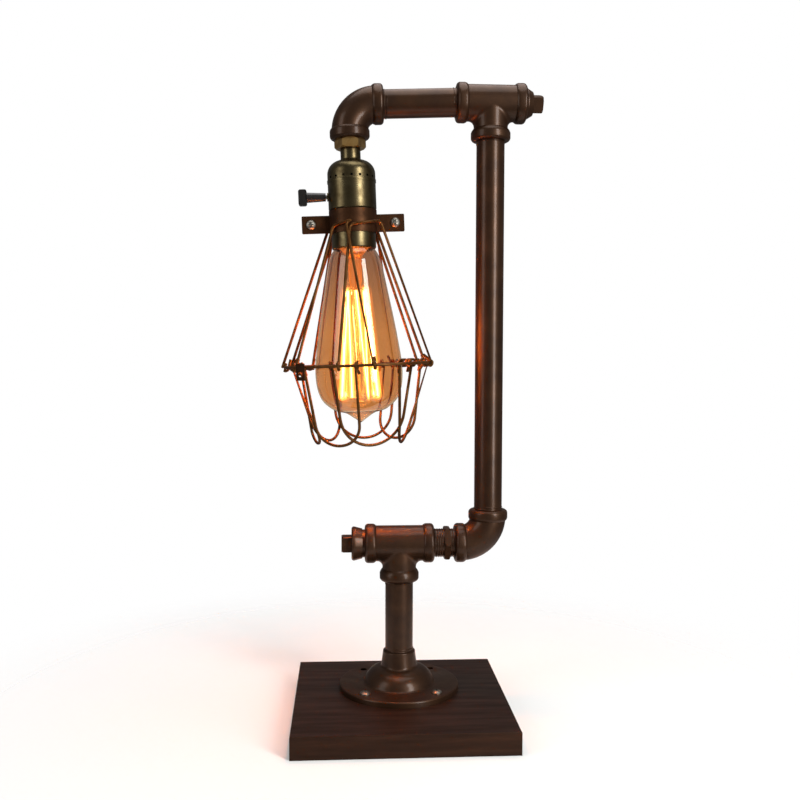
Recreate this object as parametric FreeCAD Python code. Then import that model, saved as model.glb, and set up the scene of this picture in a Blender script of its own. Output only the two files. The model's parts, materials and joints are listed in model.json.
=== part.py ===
import FreeCAD, Part

import math
import os

from FreeCAD import Placement, Rotation, Vector

# Industrial pipe table lamp: a square wooden base, a column and swing arm of half-inch pipe, and a caged lamp head.
# Millimetres. X runs to the right, Y to the back and Z up. The origin is the middle of the base's underside.
# "drop" is a distance below the arm's axis, measured along the lamp head's own axis.

# Base board
board_width = 158.0
board_depth = 152.0
board_height = 16.3
board_edge = 0.8
inlet_radius = 4.0
inlet_height = 8.0
well_radius = 10.0
well_floor = 3.0

# Column and pipes
post_y = 15.0
pipe_radius = 10.65
pipe_bore = 8.05
thread_length = 13.0
thread_gap = 0.05
swivel_gap = 0.3
post_visible = 53.9
riser_visible = 280.2
arm_visible = 55.1
arm_droop = 2.3

# Floor flange
flange_radius = 45.8
flange_plate = 4.5
flange_dome_radius = 27.2
flange_dome_height = 17.7
hub_radius = 13.6
hub_top_radius = 12.4
flange_height = 29.2
screw_square = 53.4
screw_hole_radius = 2.7

# Flange screws
screw_head_radius = 3.9
screw_head_height = 2.2
screw_shank_radius = 1.9
screw_length = 12.0
recess_width = 0.9
recess_depth = 1.1

# Malleable fittings
body_radius = 13.6
branch_radius = 12.9
bead_radius = 15.0
bead_length = 6.6
bead_round = 2.6
waterway = 8.4
tee_half_run = 26.5
tee_reach = 28.8
tee_fillet = 4.5
elbow_reach = 26.0
elbow_bend = 20.5

# Plugs
plug_head_side = 11.8
plug_head_length = 7.7
plug_wall = 4.0
plug_neck = 2.0
collar_length = 8.2
collar_small = 11.4
collar_large = 13.0
cap_length = 5.0
cap_large = 11.4
cap_small = 8.9
upper_plug_turn = 24.0

# Nipple and locknut between the lower tee and the lower elbow
nipple_visible = 15.95
locknut_flats = 23.5
locknut_length = 4.4
locknut_gap = 7.8

# Lamp head fittings
reducer_flats = 20.6
reducer_visible = 6.9
lamp_thread_radius = 4.9
lamp_thread_bore = 3.6
neck_radius = 7.55
neck_length = 8.1
dome_radius = 18.4
dome_length = 17.4
dome_bead = 1.6
vent_count = 18
vent_radius = 0.95
vent_rise = 3.5
sheet = 0.6
shell_radius = 18.05
shell_wide = 20.6
shell_narrow_radius = 16.7
shell_narrow = 29.1
shell_lip = 1.7

# Lamp holder inside the shell
liner_wall = 0.6
liner_gap = 0.1
holder_radius = 15.3
holder_height = 17.5
holder_start = 3.0
screw_shell_radius = 13.05
screw_shell_wall = 0.4
screw_shell_length = 24.5
contact_radius = 3.0
contact_height = 1.2
contact_gap = 0.05
terminal_radius = 2.0
terminal_spread = 8.0
terminal_height = 2.4

# Turn key
key_drop_in_shell = 9.8
key_bush_radius = 3.2
key_bush_length = 0.8
key_stem_radius = 1.6
key_stem_gap = 0.05
key_spindle_inside = 9.0
key_neck_root = 3.05
key_neck_large = 3.8
key_neck_length = 14.2
key_paddle_length = 6.3
key_paddle_height = 12.0
key_paddle_thickness = 5.0
key_clearance = 1.0

# Bulb: radii, and depths below the rim of its cap
bulb_cap_radius = 13.0
bulb_cap_length = 22.0
bulb_cap_wall = 0.35
bulb_neck_radius = 13.8
bulb_shoulder_radius = 17.5
bulb_shoulder_depth = 10.7
bulb_flank_radius = 24.0
bulb_flank_depth = 39.7
bulb_swell_radius = 30.8
bulb_swell_depth = 73.3
bulb_widest_radius = 33.1
bulb_widest_depth = 96.9
bulb_bowl_radius = 29.6
bulb_bowl_depth = 114.3
bulb_bottom_radius = 20.2
bulb_bottom_depth = 123.5
bulb_tip_radius = 11.0
bulb_tip_depth = 126.4
bulb_tip_cone = 5.2
bulb_pip_length = 7.4
bulb_wall = 1.0
bulb_insulator_radius = 8.0
bulb_insulator_length = 3.0
bulb_stem_radius = 5.0
bulb_stem_length = 34.0
bulb_rod_radius = 1.3
bulb_rod_length = 119.0
filament_turns = 7
filament_top_radius = 7.5
filament_low_radius = 14.0
filament_top = 34.0
filament_low = 114.0
filament_wire = 0.35
support_wire = 0.35
support_seat = 0.45
support_lift = 2.0
stem_taper = 6.0
stem_bulge = 0.6
button_taper = 2.0
button_rim = 1.6

# Cage collar
cage_collar_length = 17.2
cage_collar_wall = 1.3
cage_collar_gap = 0.05
ear_reach = 38.6
ear_height = 13.0
ear_split = 0.3
ear_round = 0.8
collar_screw_offset = 31.7
collar_screw_radius = 2.0
collar_screw_head = 3.5
collar_head_height = 2.4
collar_nut_flats = 7.0
collar_nut_height = 2.6

# Cage wires
wire_radius = 1.1
wire_sides = 8
upper_ring_radius = 55.7
ring_spacing = 5.4
ring_drop = 195.0
hook_radius = 2.6
hook_ease = 0.1
hook_tail = 7.0
hook_turn = 28.0
hairpin_drop = 90.0
hairpin_margin = 7.0
hairpin_lift = 3.2
hairpin_rise = 3.4
hairpin_corner = 3.6
hairpin_legs = (
    (-58.0, 10.5),
    (-15.0, 68.0),
    (106.5, 148.5),
    (120.0, 191.0),
    (205.0, 246.0),
    (224.0, 268.5),
)
petal_drop = 253.5
petal_foot_radius = 33.0
petal_converge = 8.3
petal_weave = 3.0
petal_legs = (
    (-55.5, -2.0),
    (-22.5, 47.0),
    (38.0, 89.0),
    (100.0, 156.0),
    (143.0, 208.0),
    (199.5, 257.0),
    (250.0, 290.0),
)
hinge_azimuth = 132.5
hinge_half_angle = 4.5
hinge_clearance = 0.3
latch_azimuth = -47.5
latch_width = 9.0
latch_sheet = 0.8
latch_top = 2.6
latch_tab = 9.5
latch_clearance = 0.3
latch_seat = 0.05
latch_window_width = 4.6
latch_window_height = 3.4

# Two-core lead inside the pipes
lead_radius = 2.6
lead_bend = 8.0

# Places that follow from the sizes
board_top = board_height
flange_top = board_top + flange_height
lower_axis_z = flange_top + post_visible + tee_reach
riser_x = tee_half_run + nipple_visible + elbow_reach
riser_foot = lower_axis_z + elbow_reach - thread_length
upper_axis_z = lower_axis_z + elbow_reach + riser_visible + tee_reach
pivot = Vector(riser_x - tee_half_run, post_y, upper_axis_z)
head_x = pivot.x - arm_visible - elbow_reach
lower_ring_radius = upper_ring_radius - ring_spacing
cap_drop = elbow_reach + reducer_visible + neck_length
shell_drop = cap_drop + dome_length
narrow_drop = shell_drop + shell_wide
shell_end = narrow_drop + shell_narrow
collar_outer = shell_narrow_radius + cage_collar_gap + cage_collar_wall
ear_drop = narrow_drop + cage_collar_length - ear_height - 1.0
key_drop = shell_drop + key_drop_in_shell
holder_top = shell_drop + holder_start
contact_drop = holder_top + holder_height
bulb_top = contact_drop + contact_height + contact_gap
bulb_base = bulb_top + bulb_insulator_length + bulb_cap_length

X = Vector(1, 0, 0)
Y = Vector(0, 1, 0)
Z = Vector(0, 0, 1)
DOWN = Vector(0, 0, -1)


def aimed(shape, at, axis):
    """The shape, drawn up the Z axis, moved to a point and turned to face along an axis."""
    copy = shape.copy()
    copy.Placement = Placement(at, Rotation(Z, axis)).multiply(copy.Placement)
    return copy


def rod(radius, length, at=Vector(0, 0, 0), axis=Z):
    return Part.makeCylinder(radius, length, at, axis)


def tube(outer, inner, length, at=Vector(0, 0, 0), axis=Z):
    return rod(outer, length, at, axis).cut(rod(inner, length, at, axis))


def ball_middle(start, end):
    """Middle of the arc from start to end, a point on the Z axis, that lies on a ball centred on that axis."""
    rise = end.z - start.z
    radius = (start.x * start.x + rise * rise) / (2 * abs(rise))
    centre = end.z - math.copysign(radius, rise)
    half = math.atan2(start.x, (start.z - centre) * math.copysign(1, rise)) / 2
    return Vector(radius * math.sin(half), 0, centre + math.copysign(radius * math.cos(half), rise))


def turned(points):
    """A solid of revolution about Z from (radius, height) points.

    A third value bulges the edge that leads to its point, or rounds it to a ball where it ends on the axis.
    """
    edges = []
    spots = [Vector(p[0], 0, p[1]) for p in points]
    count = len(points)
    for i in range(count):
        start = spots[i]
        end = spots[(i + 1) % count]
        target = points[(i + 1) % count]
        if (end - start).Length < 1e-7:
            continue
        if len(target) == 3:
            along = end - start
            side = Vector(-along.z, 0, along.x).normalize()
            middle = (start + end) * 0.5 + side * target[2]
            if target[0] == 0:
                middle = ball_middle(start, end)
            edges.append(Part.Arc(start, middle, end).toShape())
        else:
            edges.append(Part.LineSegment(start, end).toShape())
    face = Part.Face(Part.Wire(edges))
    return face.revolve(Vector(0, 0, 0), Z, 360)


def ring_point(azimuth, radius, drop):
    """A point round the head's axis. Azimuth 0 faces the front and 90 the right."""
    a = math.radians(azimuth)
    return Vector(head_x + radius * math.sin(a), post_y - radius * math.cos(a), upper_axis_z - drop)


def outward(azimuth):
    a = math.radians(azimuth)
    return Vector(math.sin(a), -math.cos(a), 0)


def along_ring(azimuth):
    a = math.radians(azimuth)
    return Vector(math.cos(a), math.sin(a), 0)


def head_axis_point(drop):
    return Vector(head_x, post_y, upper_axis_z - drop)


def drooped(shape):
    """Turns a piece with the arm, whose port in the upper tee is tapped a little off square."""
    copy = shape.copy()
    copy.rotate(pivot, Y, -arm_droop)
    return copy


def regular_polygon(sides, radius, turn=0.0):
    points = []
    for i in range(sides + 1):
        a = math.radians(turn + 360.0 * i / sides)
        points.append(Vector(radius * math.cos(a), radius * math.sin(a), 0))
    return Part.makePolygon(points)


def hexagon(flats, length, chamfer):
    """A hexagonal prism up Z with both ends chamfered to a cone."""
    corner = flats / math.sqrt(3)
    prism = Part.Face(regular_polygon(6, corner)).extrude(Vector(0, 0, length))
    trim = corner - chamfer
    lathe = turned([(0, 0), (trim, 0), (corner + 0.1, chamfer), (corner + 0.1, length - chamfer), (trim, length), (0, length)])
    return prism.common(lathe)


def smooth_path(points, radii):
    """A wire of straight runs joined by tangent arcs, one radius for each inner point."""
    edges = []
    last = points[0]
    for i in range(1, len(points) - 1):
        corner = points[i]
        back = (points[i - 1] - corner).normalize()
        ahead = (points[i + 1] - corner).normalize()
        half = back.getAngle(ahead) / 2
        reach = radii[i - 1] / math.tan(half)
        start = corner + back * reach
        end = corner + ahead * reach
        inward = (back + ahead).normalize()
        middle = corner + inward * (radii[i - 1] / math.sin(half) - radii[i - 1])
        if (start - last).Length > 1e-5:
            edges.append(Part.LineSegment(last, start).toShape())
        edges.append(Part.Arc(start, middle, end).toShape())
        last = end
    edges.append(Part.LineSegment(last, points[-1]).toShape())
    return Part.Wire(edges)


def swept(path, profile):
    """A solid swept along a path. The profile is drawn round Z at the origin."""
    first = path.OrderedEdges[0]
    start = path.OrderedVertexes[0].Point
    begin = first.tangentAt(first.FirstParameter)
    if (first.valueAt(first.FirstParameter) - start).Length > 1e-6:
        begin = first.tangentAt(first.LastParameter) * -1
    return path.makePipeShell([aimed(profile, start, begin)], True, False)


def wire_along(path):
    corner = wire_radius / math.cos(math.pi / wire_sides)
    return swept(path, regular_polygon(wire_sides, corner, 180.0 / wire_sides))


def lead_along(points, bends):
    return swept(smooth_path(points, bends), Part.Wire(Part.makeCircle(lead_radius)))


def bead(reach, body):
    """The banded mouth of a fitting, up Z: it swells from the body's radius to the bead."""
    foot = reach - bead_length
    swell = (bead_radius - body) * 1.4
    return turned([
        (0, foot - swell),
        (body, foot - swell),
        (bead_radius, foot + 0.4, -0.25),
        (bead_radius, reach - bead_round),
        (bead_radius - bead_round, reach, -0.75),
        (0, reach),
    ])


def fitting_seat(reach):
    """The threaded seat that a pipe's end goes into."""
    return rod(pipe_radius + thread_gap, thread_length, Vector(0, 0, reach - thread_length))


def fitting_port(reach):
    """What an arm is bored out by: the waterway and the seat at its mouth."""
    return rod(waterway, reach).fuse(fitting_seat(reach))


def tee_blank():
    """A solid tee that branches down, its branch a little slimmer than its run and blended into it."""
    half = tee_half_run - bead_length / 2
    run = rod(body_radius, 2 * half, X * -half, X)
    blank = run.fuse(rod(branch_radius, tee_reach - bead_length / 2, Vector(0, 0, 0), DOWN))
    joints = []
    for edge in blank.Edges:
        spots = edge.discretize(5)
        if all(abs(math.hypot(p.x, p.y) - branch_radius) < 0.01 and p.z > -body_radius - 0.01 for p in spots):
            joints.append(edge)
    blank = blank.makeFillet(tee_fillet, joints)
    for axis, reach, body in ((X, tee_half_run, body_radius), (X * -1, tee_half_run, body_radius), (DOWN, tee_reach, branch_radius)):
        blank = blank.fuse(aimed(bead(reach, body), Vector(0, 0, 0), axis))
    return blank.removeSplitter()


def make_lower_tee():
    tee = tee_blank()
    for axis, reach in ((X, tee_half_run), (X * -1, tee_half_run), (DOWN, tee_reach)):
        tee = tee.cut(aimed(fitting_port(reach), Vector(0, 0, 0), axis))
    tee.translate(Vector(0, post_y, lower_axis_z))
    return tee


def make_upper_tee():
    tee = tee_blank()
    for axis, reach in ((X, tee_half_run), (DOWN, tee_reach)):
        tee = tee.cut(aimed(fitting_port(reach), Vector(0, 0, 0), axis))
    tee.translate(Vector(riser_x, post_y, upper_axis_z))
    port = aimed(fitting_port(tee_half_run), Vector(0, 0, 0), X * -1)
    port = port.fuse(rod(pipe_radius + thread_gap, thread_gap + 1.5, Vector(-tee_half_run, 0, 0), X * -1))
    port.translate(Vector(riser_x, post_y, upper_axis_z))
    return tee.cut(drooped(port))


def elbow_blank(first_axis, second_axis):
    """A quarter bend from first_axis to second_axis, both pointing out of its mouths."""
    heart = (first_axis + second_axis) * elbow_bend
    normal = first_axis.cross(second_axis)

    def quarter(radius):
        disc = Part.Face(Part.Wire(Part.makeCircle(radius, first_axis * elbow_bend, first_axis)))
        return disc.revolve(heart, normal * -1, 90)

    blank = quarter(body_radius)
    hollow = quarter(waterway)
    for axis in (first_axis, second_axis):
        blank = blank.fuse(aimed(bead(elbow_reach, body_radius), Vector(0, 0, 0), axis))
        hollow = hollow.fuse(aimed(fitting_seat(elbow_reach), Vector(0, 0, 0), axis))
    return blank.removeSplitter().cut(hollow)


def make_lower_elbow():
    elbow = elbow_blank(X * -1, Z)
    elbow.translate(Vector(riser_x, post_y, lower_axis_z))
    return elbow


def make_upper_elbow():
    elbow = elbow_blank(X, DOWN)
    elbow.translate(Vector(head_x, post_y, upper_axis_z))
    return drooped(elbow)


def make_base_board():
    board = Part.makeBox(board_width, board_depth, board_height, Vector(-board_width / 2, -board_depth / 2, 0))
    top_edges = [e for e in board.Edges if e.BoundBox.ZMin > board_height - 0.01]
    board = board.makeFillet(board_edge, top_edges)
    well = rod(well_radius, board_height, Vector(0, post_y, well_floor))
    inlet = rod(inlet_radius, board_depth, Vector(0, post_y, inlet_height), Y)
    board = board.cut(well).cut(inlet)
    for x, y in front_screws():
        board = board.cut(rod(screw_shank_radius + thread_gap, screw_length, Vector(x, y, board_height + flange_plate - screw_length)))
    return board


def screw_places():
    half = screw_square / 2
    return [(x, post_y + y) for y in (-half, half) for x in (-half, half)]


def front_screws():
    return screw_places()[:2]


def make_floor_flange():
    """Round plate with a dome that carries the threaded hub."""
    flange = turned([
        (0, 0),
        (flange_radius, 0),
        (flange_radius, flange_plate - 1.2),
        (flange_radius - 1.2, flange_plate, -0.35),
        (flange_dome_radius + 1.2, flange_plate),
        (flange_dome_radius - 0.4, flange_plate + 1.6, 0.3),
        (hub_radius + 1.6, flange_dome_height - 1.2, -2.2),
        (hub_radius, flange_dome_height + 0.6, 0.4),
        (hub_top_radius, flange_height - 1.0),
        (hub_top_radius - 1.0, flange_height, -0.3),
        (0, flange_height),
    ])
    flange.translate(Vector(0, post_y, board_top))
    seat_foot = flange_top - thread_length
    flange = flange.cut(rod(pipe_radius + thread_gap, thread_length + 1, Vector(0, post_y, seat_foot)))
    flange = flange.cut(rod(waterway, flange_height, Vector(0, post_y, board_top)))
    for x, y in screw_places():
        flange = flange.cut(rod(screw_hole_radius, flange_plate, Vector(x, y, board_top)))
    return flange


def cross_headed_screw(head_radius, head_height, shank_radius, length):
    """A pan head screw pointing down from its head's underside at the origin."""
    head = turned([
        (0, 0),
        (head_radius, 0),
        (head_radius, head_height * 0.35),
        (0, head_height, -head_radius * 0.13),
    ])
    for size in ((recess_width, head_radius * 1.15), (head_radius * 1.15, recess_width)):
        corner = Vector(-size[0] / 2, -size[1] / 2, head_height - recess_depth)
        head = head.cut(Part.makeBox(size[0], size[1], head_height, corner))
    return head.fuse(rod(shank_radius, length, Vector(0, 0, 0), DOWN))


def make_flange_screws():
    screw = cross_headed_screw(screw_head_radius, screw_head_height, screw_shank_radius, screw_length)
    return Part.makeCompound([aimed(screw, Vector(x, y, board_top + flange_plate), Z) for x, y in front_screws()])


def make_post_pipe():
    length = post_visible + 2 * thread_length
    return tube(pipe_radius, pipe_bore, length, Vector(0, post_y, flange_top - thread_length))


def make_riser_pipe():
    length = riser_visible + 2 * thread_length - swivel_gap
    return tube(pipe_radius, pipe_bore, length, Vector(riser_x, post_y, riser_foot))


def make_arm_pipe():
    length = arm_visible + 2 * thread_length - swivel_gap
    start = Vector(pivot.x + thread_length, pivot.y, pivot.z)
    return drooped(tube(pipe_radius, pipe_bore, length, start, X * -1))


def square_head(side, length, turn):
    """A plug's square head up Z, with its corners and end broken."""
    half = side / 2
    block = Part.makeBox(side, side, length, Vector(-half, -half, 0))
    crown = turned([(0, 0), (half * 1.34, 0), (half * 1.34, length - 1.4), (half * 1.12, length), (0, length)])
    block = block.common(crown)
    block.rotate(Vector(0, 0, 0), Z, turn)
    return block


def plug(collar_profile, collar, head_turn):
    """A threaded plug up Z: hollow thread, collar outside the fitting's face at height 0, and a square head."""
    thread = rod(pipe_radius, thread_length, Vector(0, 0, -thread_length))
    hollow = rod(pipe_bore, thread_length - plug_wall + 2, Vector(0, 0, -thread_length))
    head = square_head(plug_head_side, plug_head_length, head_turn)
    head.translate(Vector(0, 0, collar))
    return turned(collar_profile).fuse(thread).cut(hollow).fuse(head).removeSplitter()


def make_lower_plug():
    collar_end = plug_neck + collar_length
    profile = [
        (0, 0),
        (pipe_radius, 0),
        (pipe_radius, plug_neck),
        (collar_small, plug_neck),
        (collar_large, collar_end - 2.0),
        (collar_large - 1.6, collar_end, -0.5),
        (0, collar_end),
    ]
    body = plug(profile, collar_end, 0.0)
    return aimed(body, Vector(-tee_half_run, post_y, lower_axis_z), X * -1)


def make_upper_plug():
    profile = [(0, 0), (cap_large, 0), (cap_large - 0.6, 1.8, -0.2), (cap_small, cap_length), (0, cap_length)]
    body = plug(profile, cap_length, upper_plug_turn)
    return aimed(body, Vector(riser_x + tee_half_run, post_y, upper_axis_z), X)


def make_lower_nipple():
    length = nipple_visible + 2 * thread_length
    return tube(pipe_radius, pipe_bore, length, Vector(tee_half_run - thread_length, post_y, lower_axis_z), X)


def make_lower_locknut():
    nut = hexagon(locknut_flats, locknut_length, 1.0).cut(rod(pipe_radius + thread_gap, locknut_length))
    nut.rotate(Vector(0, 0, 0), Z, 30)
    return aimed(nut, Vector(tee_half_run + locknut_gap, post_y, lower_axis_z), X)


def make_hex_reducer():
    """The brass bushing that brings the pipe thread down to the lamp thread."""
    collar = hexagon(reducer_flats, reducer_visible, 1.3)
    thread = rod(pipe_radius, thread_length, Vector(0, 0, reducer_visible))
    whole = collar.fuse(thread)
    whole = whole.cut(rod(lamp_thread_radius + thread_gap, reducer_visible + thread_length, Vector(0, 0, 0)))
    whole.translate(head_axis_point(elbow_reach + reducer_visible))
    return drooped(whole)


def make_lamp_nipple():
    length = reducer_visible + thread_length - 2 + neck_length + 5.0
    pipe = tube(lamp_thread_radius, lamp_thread_bore, length, head_axis_point(cap_drop + 5.0))
    return drooped(pipe)


def make_socket_cap():
    """Spun cap: a straight neck, a dome with a row of vents, and a rolled bead over the shell's rim."""
    top = neck_length + dome_length
    outer = [
        (0, 0),
        (dome_radius, 0),
        (dome_radius, dome_bead),
        (shell_radius, dome_bead + 0.6, -0.2),
        (shell_radius, dome_length * 0.42),
        (neck_radius + 1.5, dome_length - 0.8, -2.3),
        (neck_radius, dome_length + 0.9, 0.45),
        (neck_radius, top - 0.4),
        (neck_radius - 0.4, top, -0.1),
        (0, top),
    ]
    inner = [
        (0, -1),
        (shell_radius - sheet, -1),
        (shell_radius - sheet, dome_length * 0.42),
        (neck_radius + 1.5, dome_length - 0.8 - sheet, -2.3),
        (0, dome_length - 0.8 - sheet),
    ]
    cap = turned(outer).cut(turned(inner))
    cap = cap.cut(rod(lamp_thread_radius + thread_gap, top))
    for i in range(vent_count):
        a = 2 * math.pi * (i + 0.5) / vent_count
        cap = cap.cut(rod(vent_radius, shell_radius + 2, Vector(0, 0, vent_rise), Vector(math.cos(a), math.sin(a), 0)))
    cap.translate(head_axis_point(shell_drop))
    return drooped(cap)


def make_socket_shell():
    """Spun shell in two diameters, with the key's bush hole and a rounded mouth."""
    step = shell_radius - shell_narrow_radius
    total = shell_wide + shell_narrow
    shell = turned([
        (shell_radius - sheet, 0),
        (shell_radius, 0),
        (shell_radius, -shell_wide + step),
        (shell_narrow_radius, -shell_wide, 0.3),
        (shell_narrow_radius, -total + shell_lip),
        (shell_narrow_radius - shell_lip, -total, 0.45),
        (shell_narrow_radius - shell_lip, -total + sheet),
        (shell_narrow_radius - sheet, -total + shell_lip, -0.25),
        (shell_narrow_radius - sheet, -shell_wide - 0.4),
        (shell_radius - sheet, -shell_wide + step - 0.4, -0.3),
    ])
    hole = rod(key_bush_radius, shell_radius + 2, Vector(0, 0, -key_drop_in_shell), X * -1)
    shell = shell.cut(hole)
    shell.translate(head_axis_point(shell_drop))
    return drooped(shell)


def make_shell_liner():
    """Fibre sleeve that keeps the screw shell off the outer shell."""
    outer = shell_narrow_radius - sheet - liner_gap
    top = key_drop + key_bush_radius + 2.4
    length = shell_end - shell_lip - top
    sleeve = tube(outer, outer - liner_wall, length, head_axis_point(top + length))
    return drooped(sleeve)


def make_lamp_holder():
    """Moulded block that carries the switch, the terminals and the screw shell."""
    block = rod(holder_radius, holder_height, head_axis_point(contact_drop))
    spindle = rod(key_stem_radius + 2.6, key_spindle_inside + 6, head_axis_point(key_drop) + X * -(holder_radius + 1), X)
    block = block.cut(spindle)
    block = block.cut(rod(contact_radius + 0.1, 2.0, head_axis_point(contact_drop)))
    lead_way = rod(lead_radius + 0.3, 2.0, head_axis_point(holder_top + 2.0))
    return drooped(block.cut(lead_way))


def make_terminal_screws():
    screws = []
    for side in (-1, 1):
        at = head_axis_point(holder_top) + Y * side * terminal_spread
        screws.append(drooped(rod(terminal_radius, terminal_height, at)))
    return Part.makeCompound(screws)


def make_screw_shell():
    """Brass thread shell, closed by a washer under the moulded block."""
    outer = screw_shell_radius + screw_shell_wall
    top = contact_drop
    wall = tube(outer, screw_shell_radius, screw_shell_length, head_axis_point(top + screw_shell_length))
    washer = tube(outer, screw_shell_radius - 4.0, 0.5, head_axis_point(top))
    washer.translate(DOWN * 0.5)
    return drooped(wall.fuse(washer).removeSplitter())


def make_centre_contact():
    return drooped(rod(contact_radius, contact_height + 2.0, head_axis_point(contact_drop + contact_height)))


def make_key_bush():
    """Ring that lines the shell's hole where the key's stem passes."""
    inner = key_stem_radius + key_stem_gap
    start = head_axis_point(key_drop) + X * -(shell_radius - 1.6)
    bush = tube(key_bush_radius - 0.05, inner, key_bush_length + 1.6, start, X * -1)
    return drooped(bush)


def make_key_spindle():
    """Metal stem with its switching cam inside the block."""
    start = head_axis_point(key_drop) + X * -(shell_radius - key_spindle_inside)
    length = key_spindle_inside + key_bush_length + key_clearance + 5.0
    stem = rod(key_stem_radius, length, start, X * -1)
    cam = rod(key_stem_radius + 1.6, 2.4, start, X * -1)
    flat = Part.makeBox(2.4, key_stem_radius * 5, 2, start + Vector(-2.4, -key_stem_radius * 2.5, key_stem_radius + 0.4))
    return drooped(stem.fuse(cam).cut(flat))


def make_switch_key():
    """Black key: a tapered neck that ends in a flat paddle with rounded corners."""
    root = shell_radius + key_bush_length + key_clearance
    neck = Part.makeCone(key_neck_root, key_neck_large, key_neck_length)
    blank = Part.makeBox(key_paddle_height, key_paddle_thickness, key_paddle_length)
    blank.translate(Vector(-key_paddle_height / 2, -key_paddle_thickness / 2, key_neck_length))
    blank = blank.makeFillet(1.6, [e for e in blank.Edges if abs(e.tangentAt(e.FirstParameter).y) > 0.99])
    key = neck.fuse(blank).removeSplitter()
    key = key.cut(rod(key_stem_radius, 5.0))
    key = aimed(key, head_axis_point(key_drop) + X * -root, X * -1)
    return drooped(key)


def bulb_body(skin):
    """The bulb from its neck to its tip as a solid of revolution, moved in by skin on every side."""
    profile = [
        (bulb_neck_radius, 0),
        (bulb_shoulder_radius, bulb_shoulder_depth),
        (bulb_flank_radius, bulb_flank_depth),
        (bulb_swell_radius, bulb_swell_depth),
        (bulb_widest_radius, bulb_widest_depth),
        (bulb_bowl_radius, bulb_bowl_depth),
        (bulb_bottom_radius, bulb_bottom_depth),
        (bulb_tip_radius, bulb_tip_depth),
    ]
    spots = [Vector(radius, 0, -depth) for radius, depth in profile]
    count = len(spots)
    moved = []
    for i in range(count):
        along = spots[min(i + 1, count - 1)] - spots[max(i - 1, 0)]
        inward = Vector(along.z, 0, -along.x).normalize()
        if i == 0:
            inward = X * -1
        moved.append(spots[i] + inward * skin)
    curve = Part.BSplineCurve()
    curve.interpolate(moved)
    cone = Vector(bulb_tip_cone - skin * 0.6, 0, -bulb_tip_depth - bulb_pip_length / 2 + skin * 0.8)
    tip = Vector(0, 0, -bulb_tip_depth - bulb_pip_length + skin * 1.5)
    edges = [
        curve.toShape(),
        Part.LineSegment(moved[-1], cone).toShape(),
        Part.Arc(cone, ball_middle(cone, tip), tip).toShape(),
        Part.LineSegment(tip, Vector(0, 0, 0)).toShape(),
        Part.LineSegment(Vector(0, 0, 0), moved[0]).toShape(),
    ]
    return Part.Face(Part.Wire(edges)).revolve(Vector(0, 0, 0), Z, 360)


def make_bulb_glass():
    glass = bulb_body(0).cut(bulb_body(bulb_wall))
    glass.translate(head_axis_point(bulb_base))
    return drooped(glass)


def make_bulb_cap():
    wall = bulb_cap_radius - bulb_cap_wall
    cap = tube(bulb_cap_radius, wall, bulb_cap_length)
    rim = Part.makeCone(bulb_cap_radius, bulb_insulator_radius + 0.5, 2.0, Vector(0, 0, bulb_cap_length))
    rim = rim.cut(Part.makeCone(wall, bulb_insulator_radius + 0.1, 2.0, Vector(0, 0, bulb_cap_length)))
    cap = cap.fuse(rim).removeSplitter()
    cap.translate(head_axis_point(bulb_base))
    return drooped(cap)


def make_bulb_insulator():
    """Black glass cone that closes the cap round the contact."""
    height = bulb_insulator_length - 1.0
    cone = Part.makeCone(bulb_insulator_radius, contact_radius + 0.5, height)
    cone.translate(head_axis_point(bulb_top + bulb_insulator_length - 0.4))
    return drooped(cone)


def make_bulb_contact():
    height = 0.6
    button = turned([(0, 0), (contact_radius, 0), (contact_radius - 1.0, height, -0.1), (0, height)])
    button.translate(head_axis_point(bulb_top + height))
    return drooped(button)


def make_bulb_stem():
    """Glass mount: a flared foot in the neck, a pinched stem and a long rod with a button at its end."""
    mount = turned([
        (0, 0),
        (bulb_neck_radius - bulb_wall - 0.1, 0),
        (bulb_neck_radius - bulb_wall - 0.1, -0.8),
        (bulb_stem_radius, -8, -1.6),
        (bulb_stem_radius, -bulb_stem_length + stem_taper),
        (bulb_rod_radius, -bulb_stem_length, stem_bulge),
        (bulb_rod_radius, -bulb_rod_length + 2 * button_taper),
        (bulb_rod_radius + button_rim, -bulb_rod_length + button_taper, -0.3),
        (0, -bulb_rod_length, 0.8),
    ])
    mount.translate(head_axis_point(bulb_base))
    return drooped(mount)


def filament_corner(i, count):
    """Corner i of the zigzag, alternately at the top and at the bottom of the mount."""
    a = 2 * math.pi * i / count
    low = i % 2
    radius = filament_low_radius if low else filament_top_radius
    depth = filament_low if low else filament_top
    return Vector(radius * math.sin(a), -radius * math.cos(a), -depth)


def make_filament():
    count = 2 * filament_turns
    points = [filament_corner(i, count) for i in range(count)]
    strands = []
    for i in range(count - 1):
        run = points[i + 1] - points[i]
        strands.append(rod(filament_wire, run.Length, points[i], run))
    whole = Part.makeCompound(strands)
    whole.translate(head_axis_point(bulb_base))
    return drooped(whole)


def mount_radius(depth):
    """Radius of the glass mount at a depth from the stem's bulged cone down to the button's rim."""
    stem = min(max((bulb_stem_length - depth) / stem_taper, 0), 1)
    button = min(max((depth - bulb_rod_length) / button_taper + 2, 0), 1)
    bulge = 4 * stem_bulge * stem * (1 - stem)
    return bulb_rod_radius + (bulb_stem_radius - bulb_rod_radius) * stem + bulge + button_rim * button


def make_filament_supports():
    """Hooks from the rod out to the corners of the filament."""
    count = 2 * filament_turns
    arms = []
    for i in range(count):
        tip = filament_corner(i, count)
        level = Vector(0, 0, tip.z + (-support_lift if i % 2 else support_lift))
        side = Vector(tip.x, tip.y, 0).normalize()
        start = level + side * (mount_radius(-level.z) + support_seat)
        run = tip - start
        arms.append(rod(support_wire, run.Length - filament_wire, start, run))
    whole = Part.makeCompound(arms)
    whole.translate(head_axis_point(bulb_base))
    return drooped(whole)


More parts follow.
